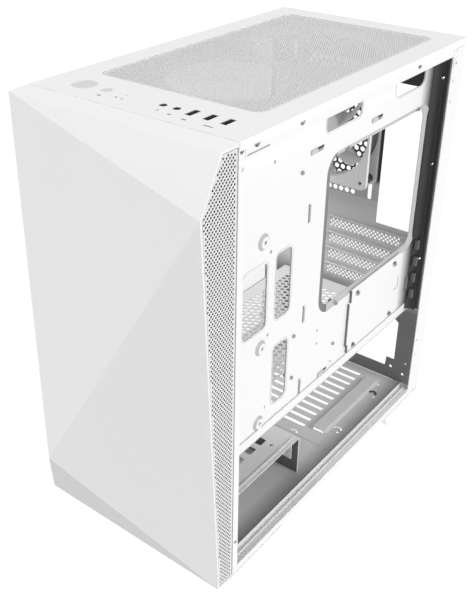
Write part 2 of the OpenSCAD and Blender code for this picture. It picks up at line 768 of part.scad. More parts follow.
// Perforated side screens of the front panel.
module front_mesh_right() {
    color("gainsboro") plate_x(half_w - 1.4, 1) side_outline(face_tip_y, face_tip_z, mesh_rim + 0.05);
}

module front_mesh_left() {
    color("gainsboro") plate_x(-half_w + 0.4, 1) side_outline(face_fold_y, face_fold_z, mesh_rim + 0.05);
}

// One foot with sloping ends, between two places measured along the case.
module foot(side, front, rear) {
    inner = side > 0 ? half_w - 30 : -half_w;
    plate_x(inner, 30) polygon([[front, foot_h - 0.02], [front + 10.5, 1.6], [rear - 12, 1.6],
        [rear, foot_h - 0.02]]);
}

module foot_front_left() { color("white") foot(-1, foot_front[0], foot_front[1]); }
module foot_front_right() { color("white") foot(1, foot_front[0], foot_front[1]); }
module foot_rear_left() { color("white") foot(-1, foot_rear[0], foot_rear[1]); }
module foot_rear_right() { color("white") foot(1, foot_rear[0], foot_rear[1]); }

// Rubber pads under the feet.
module foot_pads() {
    color("dimgray") for (x = [-half_w + 4, half_w - 26], front = [foot_front[0], foot_rear[0]])
        translate([x, front + 15, 0]) round_sheet([0, 0], [22, 50], 4, 1.58);
}

// Toughened glass side panel opposite the cable side.
module glass_panel() {
    color("lightcyan", 0.3) difference() {
        plate_x(-half_w, glass_t)
            round_outline([-front_back + 2.5, foot_h + 1], [flange_rear, case_top - band_h - 1], 4);
        for (y = glass_screw_y, z = glass_screw_z)
            drill_x(y, z, 4.5, -half_w - 2, glass_t + 4);
    }
}

// Rubber bushes in the corners of the glass.
module glass_panel_grommets() {
    color("black") for (y = glass_screw_y, z = glass_screw_z)
        translate([-half_w - 0.5, y, z]) rotate([0, 90, 0]) difference() {
            cylinder(h = glass_t + 0.5, r = 4.45, $fn = 40);
            translate([0, 0, -1]) cylinder(h = glass_t + 3, r = 2.1, $fn = 32);
        }
}

// Knurled thumbscrews that hold the glass.
module glass_panel_screws() {
    color("silver") for (y = glass_screw_y, z = glass_screw_z)
        translate([-half_w - 0.52, y, z]) rotate([0, -90, 0]) {
            cylinder(h = 4, r = 6, $fn = 48);
            translate([0, 0, -6.4]) cylinder(h = 6.5, r = 1.5, $fn = 24);
        }
}

// Rivets that join the pressed sheets at the back.
module chassis_rivets() {
    color("silver") for (z = [60, 200, 310, 400])
        translate([99.4, wall_y - 0.3 - steel - 0.02, z]) rotate([90, 0, 0])
            cylinder(h = 1, r1 = 1.8, r2 = 1.2, $fn = 24);
}

bottom_pan();
rear_panel();
rear_flange_left();
rear_flange_right();
slot_bracket();
motherboard_tray();
front_plate();
top_frame();
psu_shroud();
ssd_plate();
ssd_plate_screws();
board_standoffs();
drive_cage();
drive_cage_bracket();
slot_cover_1();
slot_cover_2();
slot_cover_3();
slot_cover_4();
slot_cover_screws();
rear_fan_frame();
rear_fan_rotor();
rear_fan_screws();
top_cover();
top_vent_mesh();
power_button();
reset_button();
power_light_pipe();
drive_light_pipe();
io_board();
usb_sockets();
audio_sockets();
front_panel();
front_panel_clips();
front_mesh_left();
front_mesh_right();
foot_front_left();
foot_front_right();
foot_rear_left();
foot_rear_right();
foot_pads();
glass_panel();
glass_panel_screws();
glass_panel_grommets();
chassis_rivets();
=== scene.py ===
import json
import math

import bmesh
import bpy
from mathutils import Matrix, Vector


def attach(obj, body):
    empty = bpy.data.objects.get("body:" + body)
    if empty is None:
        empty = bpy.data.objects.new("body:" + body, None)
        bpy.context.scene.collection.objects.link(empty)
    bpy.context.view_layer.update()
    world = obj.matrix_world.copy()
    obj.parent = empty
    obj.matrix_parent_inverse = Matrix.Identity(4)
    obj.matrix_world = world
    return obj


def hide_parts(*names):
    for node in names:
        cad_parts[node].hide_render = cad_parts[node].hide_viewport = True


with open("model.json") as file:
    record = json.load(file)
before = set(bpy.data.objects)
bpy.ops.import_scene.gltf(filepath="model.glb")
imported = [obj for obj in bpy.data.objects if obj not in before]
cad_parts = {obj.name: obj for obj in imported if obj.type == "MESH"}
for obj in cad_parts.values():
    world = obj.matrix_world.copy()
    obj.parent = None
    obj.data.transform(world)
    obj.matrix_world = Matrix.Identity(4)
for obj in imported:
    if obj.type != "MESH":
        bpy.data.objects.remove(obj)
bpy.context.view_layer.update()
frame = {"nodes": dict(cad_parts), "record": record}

# One millimetre in metres. Every other size and place below is in millimetres, as in the design.
MM = 0.001
HALF_W = 107.6
TOP = 436.0
FRONT_BACK = 162.5
FACE_TOP_Y = 183.0
FACE_TIP = (205.8, 392.4)
FACE_FOLD = (186.8, 55.6)
FACE_LOW_Z = 18.0
MESH_RIM = 2.0
WALL_Y = 180.8
FAN_X, FAN_Z = -20.8, 330.8
SLOT_TOP, SLOT_PITCH = 219.5, 20.32
SLOT_LEFT, SLOT_RIGHT = -22.0, 88.0
SHROUD_LEFT, SHROUD_Z = -74.0, 134.0
TRAY_X = 91.5
IO_Y = 134.8
STEEL = 0.8


# ---------------------------------------------------------------- materials

def linear(colour):
    """An sRGB hex colour as linear RGBA."""
    parts = [int(colour[i:i + 2], 16) / 255 for i in (1, 3, 5)]
    return [c / 12.92 if c <= 0.04045 else ((c + 0.055) / 1.055) ** 2.4 for c in parts] + [1.0]


def add(tree, kind, settings=None, **links):
    """Adds a node; settings holds its properties and socket values, links its inputs by name or number."""
    node = tree.nodes.new(kind)
    for key, value in (settings or {}).items():
        if isinstance(key, int) or key in node.inputs:
            node.inputs[key].default_value = value
        else:
            setattr(node, key, value)
    for key, source in links.items():
        socket = node.inputs[int(key[1:])] if key[0] == "_" else node.inputs[key.replace("_", " ")]
        tree.links.new(source, socket)
    return node


def finish_of(name, colour, roughness, grain_mm, bump_mm, mottle=0.03, fade=None, **shader):
    """A material: two close tones in a slow mottle, a grain that lifts the surface, and a roughness that wanders.
    fade = (axis, start, end, colour) turns it slowly to a second colour between two places in millimetres."""
    material = bpy.data.materials.new(name)
    material.use_nodes = True
    tree = material.node_tree
    tree.nodes.clear()
    place = add(tree, "ShaderNodeTexCoord").outputs["Object"]
    cloud = add(tree, "ShaderNodeTexNoise", {"Scale": 1 / (60 * MM), "Detail": 3.0}, Vector=place)
    grain = add(tree, "ShaderNodeTexNoise", {"Scale": 1 / (grain_mm * MM), "Detail": 2.0}, Vector=place)
    base = linear(colour)
    darker = [c * (1 - 2 * mottle) for c in base[:3]] + [1.0]
    tone = add(tree, "ShaderNodeMix", {"data_type": "RGBA"}, Factor=cloud.outputs["Fac"])
    tone.inputs[6].default_value = base
    tone.inputs[7].default_value = darker
    if fade:
        axis, start, end, second = fade
        parts = add(tree, "ShaderNodeSeparateXYZ", None, Vector=place)
        along = add(tree, "ShaderNodeMapRange", {"From Min": start * MM, "From Max": end * MM},
                    Value=parts.outputs[axis])
        tone = add(tree, "ShaderNodeMix", {"data_type": "RGBA"}, Factor=along.outputs[0], _6=tone.outputs[2])
        tone.inputs[7].default_value = linear(second)
    gloss = add(tree, "ShaderNodeMapRange", {"To Min": roughness - 0.05, "To Max": roughness + 0.07},
                Value=grain.outputs["Fac"])
    lift = add(tree, "ShaderNodeBump", {"Strength": 0.5, "Distance": bump_mm * MM}, Height=grain.outputs["Fac"])
    skin = add(tree, "ShaderNodeBsdfPrincipled", shader, Base_Color=tone.outputs[2],
               Roughness=gloss.outputs[0], Normal=lift.outputs[0])
    add(tree, "ShaderNodeOutputMaterial", Surface=skin.outputs[0])
    return material


# Powder coat on cold-rolled steel: baked polyester powder gives a soft white sheen with a fine orange peel.
powder_coat = finish_of("powder_coated_steel_white", "#eaeaea", 0.42, 1.6, 0.05, 0.012, IOR=1.5)
# The same white powder coat inside the case, drawn in painted shade: light grey above 150 mm, darker grey below 128 mm.
inner_wall_painted_shade = finish_of("powder_coated_steel_inner_painted_shade", "#7a7a7a", 0.45, 1.6, 0.05, 0.03, (2, 128, 150, "#d8d8d8"),
                       IOR=1.5)
# The floor of the case in the same white coat, drawn in painted shade: light grey, darker towards the drop at the cable
# side.
floor_painted_shade = finish_of("powder_coated_steel_floor_painted_shade", "#cccccc", 0.45, 1.6, 0.05, 0.03, (0, 76, 95, "#848484"),
                       IOR=1.5)
# The tray: white, with painted shade turning it charcoal where it bends to the rear wall.
tray_painted_shade = finish_of("powder_coated_steel_tray_painted_shade", "#eaeaea", 0.42, 1.6, 0.05, 0.012, (1, 152, 174, "#444444"),
                      IOR=1.5)
# The front wall behind the meshes is drawn charcoal as painted shade, which makes their holes read dark; its outer post
# is white.
front_wall_painted_shade = finish_of("front_wall_painted_shade_white_post", "#303030", 0.5, 1.6, 0.05, 0.03, (0, 105.6, 106.1, "#eaeaea"),
                       IOR=1.5)
# The wall round the fan, drawn in painted shade: light grey below the fan, charcoal behind it.
fan_wall_painted_shade = finish_of("steel_behind_fan_painted_shade", "#c6c6c6", 0.5, 1.6, 0.05, 0.03, (2, 270, 276, "#3a3a3a"),
                        IOR=1.5)
# Flat charcoal painted shade, for white steel that lies in deep shade.
charcoal_painted_shade = finish_of("steel_charcoal_painted_shade", "#3a3a3a", 0.55, 1.6, 0.05, 0.03, IOR=1.5)
# Mid grey painted shade, for white steel edges, folds and faces turned away from the light.
mid_grey_painted_shade = finish_of("pressed_edge_mid_grey_painted_shade", "#727272", 0.45, 1.6, 0.04, 0.03, IOR=1.5)
# Light grey painted shade, for white steel slopes half turned away from the light.
light_grey_painted_shade = finish_of("pressed_edge_light_grey_painted_shade", "#c4c4c4", 0.45, 1.6, 0.04, 0.02, IOR=1.5)
# Perforated steel sheet, painted after punching: the same white, a touch greyer where paint is thin at the holes.
painted_mesh = finish_of("painted_perforated_sheet", "#dcdcdc", 0.5, 1.2, 0.04, 0.02, IOR=1.5)
# Moulded ABS from a spark-eroded tool: matt white whose grain kills sharp reflections. Real grain is about
# 0.2 mm and is drawn at 0.7 mm so that it shows.
moulded_abs = finish_of("moulded_abs_white", "#e8e8e8", 0.48, 0.7, 0.03, 0.012, IOR=1.53)
# The front panel's lower facets: the same white ABS, drawn darker as painted shade.
lower_facet_painted_shade = finish_of("moulded_abs_lower_facet_painted_shade", "#d4d4d4", 0.48, 0.7, 0.03, 0.012, IOR=1.53)
# The cover and the front panel's top: the same white ABS, drawn brighter as painted light.
cover_painted_light = finish_of("moulded_abs_cover_painted_light", "#efefef", 0.46, 0.7, 0.03, 0.008, IOR=1.53)
# The feet: the same resin from a smoother tool, so a little shinier.
foot_abs = finish_of("moulded_abs_feet", "#eeeeee", 0.35, 1.5, 0.02, 0.01, IOR=1.53)
# Button caps, moulded a shade darker than the cover and polished a little by fingers.
button_abs = finish_of("moulded_abs_buttons", "#dcdcdc", 0.38, 0.6, 0.02, 0.02, IOR=1.53)
# Glass-filled PBT of the fan: white, slightly waxy, with faint flow marks.
fan_pbt = finish_of("fan_pbt_white", "#ececec", 0.45, 2.2, 0.03, 0.03, IOR=1.6)
# The same white resin drawn in charcoal as painted shade, for the fan's duct between its two white rims.
fan_duct_painted_shade = finish_of("fan_pbt_duct_painted_shade", "#3c3c3c", 0.5, 2.2, 0.03, 0.03, IOR=1.6)
# Black PBT inside the sockets.
socket_pbt = finish_of("socket_pbt_black", "#1b1b1c", 0.5, 0.5, 0.02, 0.05, IOR=1.6)
# Tin-plated steel shells of the USB sockets: dull silver, faintly clouded.
tin_plate = finish_of("tin_plated_steel", "#b9bbbc", 0.32, 0.4, 0.01, 0.04, Metallic=1.0)
# Nickel-plated screws and rivets: bright with tumbling marks.
nickel_plate = finish_of("nickel_plated_steel", "#c9c7c2", 0.27, 0.5, 0.02, 0.05, Metallic=1.0)
# Turned brass standoffs, nickel plated, so grey rather than gold.
plated_brass = finish_of("nickel_plated_brass", "#a9a7a2", 0.35, 0.4, 0.01, 0.05, Metallic=1.0)
# Solder mask over fibreglass: green, faintly clouded.
solder_mask = finish_of("solder_mask_green", "#1d4a2c", 0.35, 0.8, 0.02, 0.06, IOR=1.55)
# Nitrile rubber of the pads and bushes: matt charcoal.
nitrile_rubber = finish_of("nitrile_rubber", "#242425", 0.8, 0.8, 0.05, 0.08, IOR=1.52)
# Clear polycarbonate light pipes: milky where the saw cut them.
polycarbonate = finish_of("polycarbonate_clear", "#dfe7ea", 0.3, 0.5, 0.02, 0.03, IOR=1.58)
# Pad-printing ink of the cover's marks: thin, grey and matt.
marking_ink = finish_of("pad_printing_ink_grey", "#9a9a9a", 0.6, 0.5, 0.01, 0.05, IOR=1.5)
# Toughened float glass: almost clear with a faint green-grey body, so mostly its reflections are seen.
float_glass = finish_of("float_glass_clear", "#e6eeec", 0.06, 40.0, 0.01, 0.02, IOR=1.52, Alpha=0.12)

FINISH = {
    "white_steel": powder_coat, "white_plastic": moulded_abs, "mesh_steel": painted_mesh, "foot_plastic": foot_abs,
    "fan_plastic": fan_pbt, "button_plastic": button_abs, "clear_plastic": polycarbonate, "board_green": solder_mask,
    "socket_metal": tin_plate, "black_plastic": socket_pbt, "pad_rubber": nitrile_rubber, "side_glass": float_glass,
    "screw_steel": nickel_plate, "standoff_brass": plated_brass}
SLOT_OF = {s["node"]: s["material_slot"] for s in frame["record"]["subparts"]}
# The front plate is drawn in charcoal painted shade; every other CAD node takes its slot's finish.
for name, node in frame["nodes"].items():
    node.data.materials.clear()
    node.data.materials.append(front_wall_painted_shade if name == "front_plate" else FINISH[SLOT_OF[name]])


# ---------------------------------------------------------------- making pieces

def piece(name, mesh, material, body, slot, *nodes):
    """Puts a finished mesh in the scene, riding on a body, in place of the CAD nodes it stands for."""
    obj = bpy.data.objects.new(name, mesh)
    bpy.context.scene.collection.objects.link(obj)
    mesh.materials.clear()
    mesh.materials.append(material)
    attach(obj, body)
    if nodes:
        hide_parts(*nodes)
    return obj


def white_outside(obj):
    """Coats the faces of a rear wall piece that look out of the case in the white of its outside."""
    obj.data.materials.append(powder_coat)
    for face in obj.data.polygons:
        if face.normal.y > 0.5:
            face.material_index = 1


def baked(obj):
    """The evaluated shape of obj as a plain mesh; obj itself is removed."""
    graph = bpy.context.evaluated_depsgraph_get()
    mesh = bpy.data.meshes.new_from_object(obj.evaluated_get(graph), depsgraph=graph)
    bpy.data.objects.remove(obj)
    return mesh


def join(*meshes):
    """Several meshes as one."""
    bm = bmesh.new()
    for mesh in meshes:
        bm.from_mesh(mesh)
    out = bpy.data.meshes.new("joined")
    bm.to_mesh(out)
    bm.free()
    return out


def block(low, high, bevel=0.0, segments=2):
    """A box between two corners in millimetres, with rounded edges."""
    bm = bmesh.new()
    bmesh.ops.create_cube(bm, size=1.0)
    size = Vector(high) - Vector(low)
    middle = (Vector(high) + Vector(low)) / 2
    bmesh.ops.transform(bm, matrix=Matrix.Translation(middle * MM) @ Matrix.Diagonal((*(size * MM), 1.0)),
                        verts=bm.verts)
    if bevel:
        bmesh.ops.bevel(bm, geom=bm.edges[:], offset=bevel * MM, segments=segments, affect="EDGES", profile=0.5)
    out = bpy.data.meshes.new("block")
    bm.to_mesh(out)
    bm.free()
    return out


def softened(node, width, segments=2, angle=30):
    """A copy of a CAD node's mesh with its sharp edges rounded."""
    mesh = frame["nodes"][node].data.copy()
    bm = bmesh.new()
    bm.from_mesh(mesh)
    bmesh.ops.remove_doubles(bm, verts=bm.verts, dist=0.002 * MM)
    bmesh.ops.dissolve_limit(bm, angle_limit=math.radians(0.4), verts=bm.verts, edges=bm.edges)
    bm.to_mesh(mesh)
    bm.free()
    obj = bpy.data.objects.new("soft_" + node, mesh)
    bpy.context.scene.collection.objects.link(obj)
    edge = obj.modifiers.new("edges", "BEVEL")
    edge.width = width * MM
    edge.segments = segments
    edge.limit_method = "ANGLE"
    edge.angle_limit = math.radians(angle)
    edge.use_clamp_overlap = True
    edge.harden_normals = False
    mesh = baked(obj)
    for face in mesh.polygons:
        face.use_smooth = False
    return mesh


def rounded(low, high, radius, steps=6):
    """Corner-rounded rectangle as a loop of (u, v) points."""
    points = []
    for cx, cy, start in ((high[0] - radius, high[1] - radius, 0), (low[0] + radius, high[1] - radius, 90),
                          (low[0] + radius, low[1] + radius, 180), (high[0] - radius, low[1] + radius, 270)):
        for i in range(steps + 1):
            turn = math.radians(start + 90 * i / steps)
            points.append((cx + radius * math.cos(turn), cy + radius * math.sin(turn)))
    return points


def ring(u, v, radius, sides=16):
    """Circle as a loop of (u, v) points."""
    return [(u + radius * math.cos(2 * math.pi * i / sides), v + radius * math.sin(2 * math.pi * i / sides))
            for i in range(sides)]


def solid(vertices, faces):
    """A closed mesh from points in millimetres, its faces turned outwards."""
    bm = bmesh.new()
    made = [bm.verts.new(Vector(v) * MM) for v in vertices]
    for face in faces:
        bm.faces.new([made[i] for i in face])
    bmesh.ops.recalc_face_normals(bm, faces=bm.faces)
    out = bpy.data.meshes.new("solid")
    bm.to_mesh(out)
    bm.free()
    return out


def tube_of(loops, around=True):
    """Joins loops of points one to the next; around closes the last to the first, otherwise both ends are capped."""
    count, size = len(loops), len(loops[0])
    vertices = [p for loop in loops for p in loop]
    faces = []
    for i in range(count if around else count - 1):
        for j in range(size):
            k, m = (i + 1) % count, (j + 1) % size
            faces.append((i * size + j, i * size + m, k * size + m, k * size + j))
    if not around:
        faces += [tuple(range(size)), tuple(range((count - 1) * size, count * size))]
    return solid(vertices, faces)


def folded(path, thickness, low, high):
    """A strip of sheet that follows a path of (x, y) points between two heights."""
    sides = ([], [])
    for i, point in enumerate(path):
        before, after = path[max(i - 1, 0)], path[min(i + 1, len(path) - 1)]
        run = Vector((after[0] - before[0], after[1] - before[1])).normalized()
        for side, way in zip(sides, (0.5, -0.5)):
            side.append((point[0] - run.y * thickness * way, point[1] + run.x * thickness * way))
    outline = sides[0] + sides[1][::-1]
    return tube_of([[(x, y, z) for x, y in outline] for z in (low, high)], around=False)


def pressed_rim(outer, inner, level, depth, thickness=0.7):
    """A sloping rim in a sheet across X, falling by depth from the outer loop to the inner one."""
    near = [(level, u, v) for u, v in outer]
    far = [(level - depth, u, v) for u, v in inner]
    return tube_of([near, far] + [[(x - thickness, u, v) for x, u, v in loop] for loop in (far, near)])


def perforation_tree():
    """Geometry Nodes: fills an outline, punches staggered holes that stay clear of its edge, and thickens it."""
    tree = bpy.data.node_groups.new("Punched sheet", "GeometryNodeTree")
    face = tree.interface
    face.new_socket("Geometry", in_out="INPUT", socket_type="NodeSocketGeometry")
    for label, kind in (("Columns", "Int"), ("Rows", "Int"), ("Pitch Across", "Float"), ("Pitch Along", "Float"),
                        ("Slant", "Float"), ("Start", "Vector"), ("Hole Radius", "Float"), ("Hole Sides", "Int"),
                        ("Hole Turn", "Float"), ("First Row", "Int"), ("Margin", "Float"), ("Thickness", "Float"),
                        ("Stretch", "Float")):
        face.new_socket(label, in_out="INPUT", socket_type="NodeSocket" + kind)
    face.new_socket("Material", in_out="INPUT", socket_type="NodeSocketMaterial")
    face.new_socket("Geometry", in_out="OUTPUT", socket_type="NodeSocketGeometry")
    given = add(tree, "NodeGroupInput").outputs

    index = add(tree, "GeometryNodeInputIndex").outputs[0]
    column = add(tree, "ShaderNodeMath", {"operation": "MODULO"}, _0=index, _1=given["Columns"]).outputs[0]
    row = add(tree, "ShaderNodeMath", {"operation": "DIVIDE"}, _0=index, _1=given["Columns"]).outputs[0]
    row = add(tree, "ShaderNodeMath", {"operation": "FLOOR"}, _0=row).outputs[0]
    odd = add(tree, "ShaderNodeMath", {"operation": "ADD"}, _0=row, _1=given["First Row"]).outputs[0]
    odd = add(tree, "ShaderNodeMath", {"operation": "MODULO", 1: 2.0}, _0=odd).outputs[0]
    step = add(tree, "ShaderNodeMath", {"operation": "MULTIPLY_ADD", 1: 0.5}, _0=odd, _2=column).outputs[0]
    across = add(tree, "ShaderNodeMath", {"operation": "MULTIPLY"}, _0=step, _1=given["Pitch Across"]).outputs[0]
    rise = add(tree, "ShaderNodeMath", {"operation": "MULTIPLY"}, _0=row, _1=given["Pitch Along"]).outputs[0]
    along = add(tree, "ShaderNodeMath", {"operation": "MULTIPLY_ADD"}, _0=across, _1=given["Slant"], _2=rise).outputs[0]
    spot = add(tree, "ShaderNodeCombineXYZ", None, X=across, Y=along).outputs[0]
    spot = add(tree, "ShaderNodeVectorMath", {"operation": "ADD"}, _0=spot, _1=given["Start"]).outputs[0]
    count = add(tree, "ShaderNodeMath", {"operation": "MULTIPLY"}, _0=given["Columns"], _1=given["Rows"]).outputs[0]
    points = add(tree, "GeometryNodePoints", None, Count=count, Position=spot).outputs[0]
    outline = add(tree, "GeometryNodeMeshToCurve", None, Mesh=given["Geometry"]).outputs[0]
    blank = add(tree, "GeometryNodeFillCurve", None, Curve=outline).outputs[0]
    off = add(tree, "GeometryNodeProximity", {"target_element": "FACES"}, _0=blank).outputs["Distance"]
    rim = add(tree, "GeometryNodeProximity", {"target_element": "EDGES"}, _0=given["Geometry"]).outputs["Distance"]
    outside = add(tree, "ShaderNodeMath", {"operation": "GREATER_THAN", 1: 0.00001}, _0=off).outputs[0]
    reach = add(tree, "ShaderNodeMath", {"operation": "ADD"}, _0=given["Margin"], _1=given["Hole Radius"]).outputs[0]
    close = add(tree, "ShaderNodeMath", {"operation": "LESS_THAN"}, _0=rim, _1=reach).outputs[0]
    drop = add(tree, "ShaderNodeMath", {"operation": "MAXIMUM"}, _0=outside, _1=close).outputs[0]
    kept = add(tree, "GeometryNodeDeleteGeometry", {"domain": "POINT"}, Geometry=points, Selection=drop).outputs[0]
    hole = add(tree, "GeometryNodeCurvePrimitiveCircle", None, Resolution=given["Hole Sides"],
               Radius=given["Hole Radius"]).outputs[0]
    turn = add(tree, "ShaderNodeCombineXYZ", None, Z=given["Hole Turn"]).outputs[0]
    size = add(tree, "ShaderNodeCombineXYZ", {"X": 1.0, "Z": 1.0}, Y=given["Stretch"]).outputs[0]
    punched = add(tree, "GeometryNodeInstanceOnPoints", None, Points=kept, Instance=hole, Rotation=turn,
                  Scale=size).outputs[0]
    punched = add(tree, "GeometryNodeRealizeInstances", None, Geometry=punched).outputs[0]
    both = tree.nodes.new("GeometryNodeJoinGeometry")
    tree.links.new(outline, both.inputs[0])
    tree.links.new(punched, both.inputs[0])
    flat = add(tree, "GeometryNodeFillCurve", None, Curve=both.outputs[0]).outputs[0]
    raised = add(tree, "GeometryNodeExtrudeMesh", {"Individual": False}, Mesh=flat,
                 Offset_Scale=given["Thickness"]).outputs[0]
    back = add(tree, "GeometryNodeFlipFaces", None, Mesh=flat).outputs[0]
    whole = tree.nodes.new("GeometryNodeJoinGeometry")
    tree.links.new(raised, whole.inputs[0])
    tree.links.new(back, whole.inputs[0])
    closed = add(tree, "GeometryNodeMergeByDistance", {"Distance": 0.000001}, Geometry=whole.outputs[0]).outputs[0]
    solid = add(tree, "GeometryNodeRealizeInstances", None, Geometry=closed).outputs[0]
    painted = add(tree, "GeometryNodeSetMaterial", None, Geometry=solid, Material=given["Material"]).outputs[0]
    add(tree, "NodeGroupOutput", None, Geometry=painted)
    return tree


PUNCHED = perforation_tree()
# How the sheet's own axes lie in the case: across, along and out of the face.
FACING = {
    "+Z": Matrix(((1, 0, 0, 0), (0, 1, 0, 0), (0, 0, 1, 0), (0, 0, 0, 1))),
    "+X": Matrix(((0, 0, 1, 0), (1, 0, 0, 0), (0, 1, 0, 0), (0, 0, 0, 1))),
    "-Y": Matrix(((1, 0, 0, 0), (0, 0, -1, 0), (0, 1, 0, 0), (0, 0, 0, 1)))}


def run_tree(mesh, tree, values):
    """The mesh after a node tree, given the tree's inputs by name."""
    obj = bpy.data.objects.new("seed", mesh)
    bpy.context.scene.collection.objects.link(obj)
    step = obj.modifiers.new("nodes", "NODES")
    step.node_group = tree
    for item in tree.interface.items_tree:
        if item.item_type == "SOCKET" and item.in_out == "INPUT" and item.name in values:
            step[item.identifier] = values[item.name]
    return baked(obj)


# A plain sheet still gets one hole, so it is put where the tree drops it.
FAR_OFF = (9000.0, 9000.0, 0.0)


def sheet(loops, facing, level, thickness, material, holes=None):
    """A sheet with that outline and its cut-outs; level is where its lower face lies along the facing axis.
    holes gives the staggered pattern: pitch across and along, slant, radius, sides, turn, margin, area, shift."""
    h = {"across": 1.0, "along": 1.0, "slant": 0.0, "radius": 0.1, "sides": 6, "turn": 0.0, "odd": 0, "margin": 1.0,
         "stretch": 1.0, "area": None, "shift": (0.0, 0.0)}
    h.update(holes or {})
    mesh = bpy.data.meshes.new("outline")
    vertices, edges = [], []
    for loop in loops:
        first = len(vertices)
        vertices += [(u * MM, v * MM, 0.0) for u, v in loop]
        edges += [(first + i, first + (i + 1) % len(loop)) for i in range(len(loop))]
    mesh.from_pydata(vertices, edges, [])
    us = [u for loop in loops for u, v in loop]
    vs = [v for loop in loops for u, v in loop]
    area = h["area"] or ((min(us), min(vs)), (max(us), max(vs)))
    (u0, v0), (u1, v1) = area
    lean = abs(h["slant"]) * (u1 - u0)
    columns = int((u1 - u0) / h["across"]) + 1 if holes else 1
    rows = int((v1 - v0 + lean) / h["along"]) + 1 if holes else 1
    start = (u0 + h["shift"][0], v0 + h["shift"][1], 0.0) if holes else FAR_OFF
    values = {"Columns": columns, "Rows": rows, "Pitch Across": h["across"] * MM, "Pitch Along": h["along"] * MM,
              "Slant": h["slant"], "Start": [c * MM for c in start], "Hole Radius": h["radius"] * MM,
              "Hole Sides": h["sides"], "Hole Turn": h["turn"], "First Row": h["odd"], "Margin": h["margin"] * MM,
              "Thickness": thickness * MM, "Stretch": h["stretch"], "Material": material}
    made = run_tree(mesh, PUNCHED, values)
    shift = {"+Z": (0, 0, level), "+X": (level, 0, 0), "-Y": (0, level, 0)}[facing]
    made.transform(Matrix.Translation(Vector(shift) * MM) @ FACING[facing])
    return made


# ---------------------------------------------------------------- covers and meshes

# The rear grille's honeycomb: hexagons 6.3 mm wide, 7.5 mm apart.
HEX = {"across": 7.5, "along": 6.49, "radius": 3.15, "sides": 6, "turn": math.pi / 6}

# The vent's screen is punched in strips, cut between two rows of holes, because one sheet takes far longer to fill.
FINE = {"across": 2.268, "along": 2.242, "radius": 0.86, "sides": 6, "margin": 0.2}
SCREEN_LOW, SCREEN_HIGH, CORNER = (-84.6, -105.6), (84.6, 180.6), 9.6
FIRST_ROW, ROWS, STRIPS = -103.6, 126, 14


def screen_strip(first, last):
    """One strip of the vent's screen, holding the rows from first up to last."""
    low_v = SCREEN_LOW[1] if first == 0 else FIRST_ROW + (first - 0.5) * FINE["along"]
    high_v = SCREEN_HIGH[1] if last == ROWS else FIRST_ROW + (last - 0.5) * FINE["along"]
    outline = [p for p in rounded(SCREEN_LOW, SCREEN_HIGH, CORNER) if low_v + 0.01 < p[1] < high_v - 0.01]
    if last < ROWS:
        outline += [(SCREEN_HIGH[0], high_v), (SCREEN_LOW[0], high_v)]
    if first > 0:
        outline += [(SCREEN_HIGH[0], low_v), (SCREEN_LOW[0], low_v)]
    middle = (low_v + high_v) / 2
    outline.sort(key=lambda p: math.atan2((p[1] - middle) * 8, p[0]))
    holes = dict(FINE, area=((-83.1, FIRST_ROW + first * FINE["along"]),
                             (82.2, FIRST_ROW + (last - 0.9) * FINE["along"])),
                 odd=first % 2)
    return sheet([outline], "+Z", TOP - 1.0, 0.3, painted_mesh, holes)


for label, part in (("front", range(0, STRIPS // 2)), ("rear", range(STRIPS // 2, STRIPS))):
    made = join(*[screen_strip(i * ROWS // STRIPS, (i + 1) * ROWS // STRIPS) for i in part])
    piece("vent_screen_" + label, made, painted_mesh, "top_vent", "mesh_steel",
          *(["top_vent_mesh"] if label == "front" else []))
rim = sheet([rounded(SCREEN_LOW, SCREEN_HIGH, CORNER), rounded((-81, -102), (81, 177), 7)], "+Z", 429.25, 5.7,
            moulded_abs)
piece("vent_frame", rim, moulded_abs, "top_vent", "white_plastic")


def side_outline(tip, rim_width):
    """The opening of the front panel's side, inside a rim of that width; tip is its foremost point."""
    rear = -FRONT_BACK - 0.8 - (rim_width - MESH_RIM)
    return [(rear, TOP - 1.5 - rim_width), (-FACE_TOP_Y + rim_width, TOP - 1.5 - rim_width),
            (-tip[0] + rim_width * 1.2, tip[1]), (-FACE_TOP_Y - 0.9 + rim_width, FACE_LOW_Z + rim_width),
            (rear, FACE_LOW_Z + rim_width)]


# The side meshes' round holes run in rows that climb towards the rear.
side_holes = {"across": 3.75, "along": 2.2, "slant": -0.23, "radius": 1.0, "sides": 8, "margin": 0.2}
for side, level, tip in (("right", HALF_W - 0.8, FACE_TIP), ("left", -HALF_W + 0.5, FACE_FOLD)):
    outline = side_outline(tip, MESH_RIM + 0.7)
    made = sheet([outline], "+X", level, 0.3, painted_mesh, side_holes)
    piece("side_mesh_" + side, made, painted_mesh, "front_panel", "mesh_steel", "front_mesh_" + side)

# The front panel, its two lower facets drawn darker as painted shade and its top edge brighter as painted light.
shell = piece("face_shell", softened("front_panel", 0.7), moulded_abs, "front_panel", "white_plastic", "front_panel")
shell.data.materials.append(lower_facet_painted_shade)
shell.data.materials.append(cover_painted_light)
for face in shell.data.polygons:
    if face.normal.y < -0.9 and face.normal.z < -0.066:
        face.material_index = 1
    elif face.normal.z > 0.9 and face.center.z > 430 * MM:
        face.material_index = 2
# The top cover, in the white ABS drawn brighter as painted light.
cover = softened("top_cover", 0.6)
cover.transform(Matrix.Translation((0, 0, -0.04 * MM)))
piece("cover_shell", cover, cover_painted_light, "chassis", "white_plastic", "top_cover")
# Plain dashes printed beside the controls: middle, width and depth.
MARKS = [(-41, -148, 3.6, 2.4), (-26.8, -143.3, 2.2, 2.2), (-20.4, -143.8, 2.2, 1.6), (19.1, -146.9, 1.2, 3.4),
         (32.3, -148.9, 3.2, 2.2), (48.1, -151, 4.2, 2.2), (71.1, -151.2, 8.6, 1.7)]
marks = [block((x - w / 2, y - h / 2, TOP - 0.1), (x + w / 2, y + h / 2, TOP)) for x, y, w, h in MARKS]
piece("cover_marks", join(*marks), marking_ink, "chassis", "white_plastic")

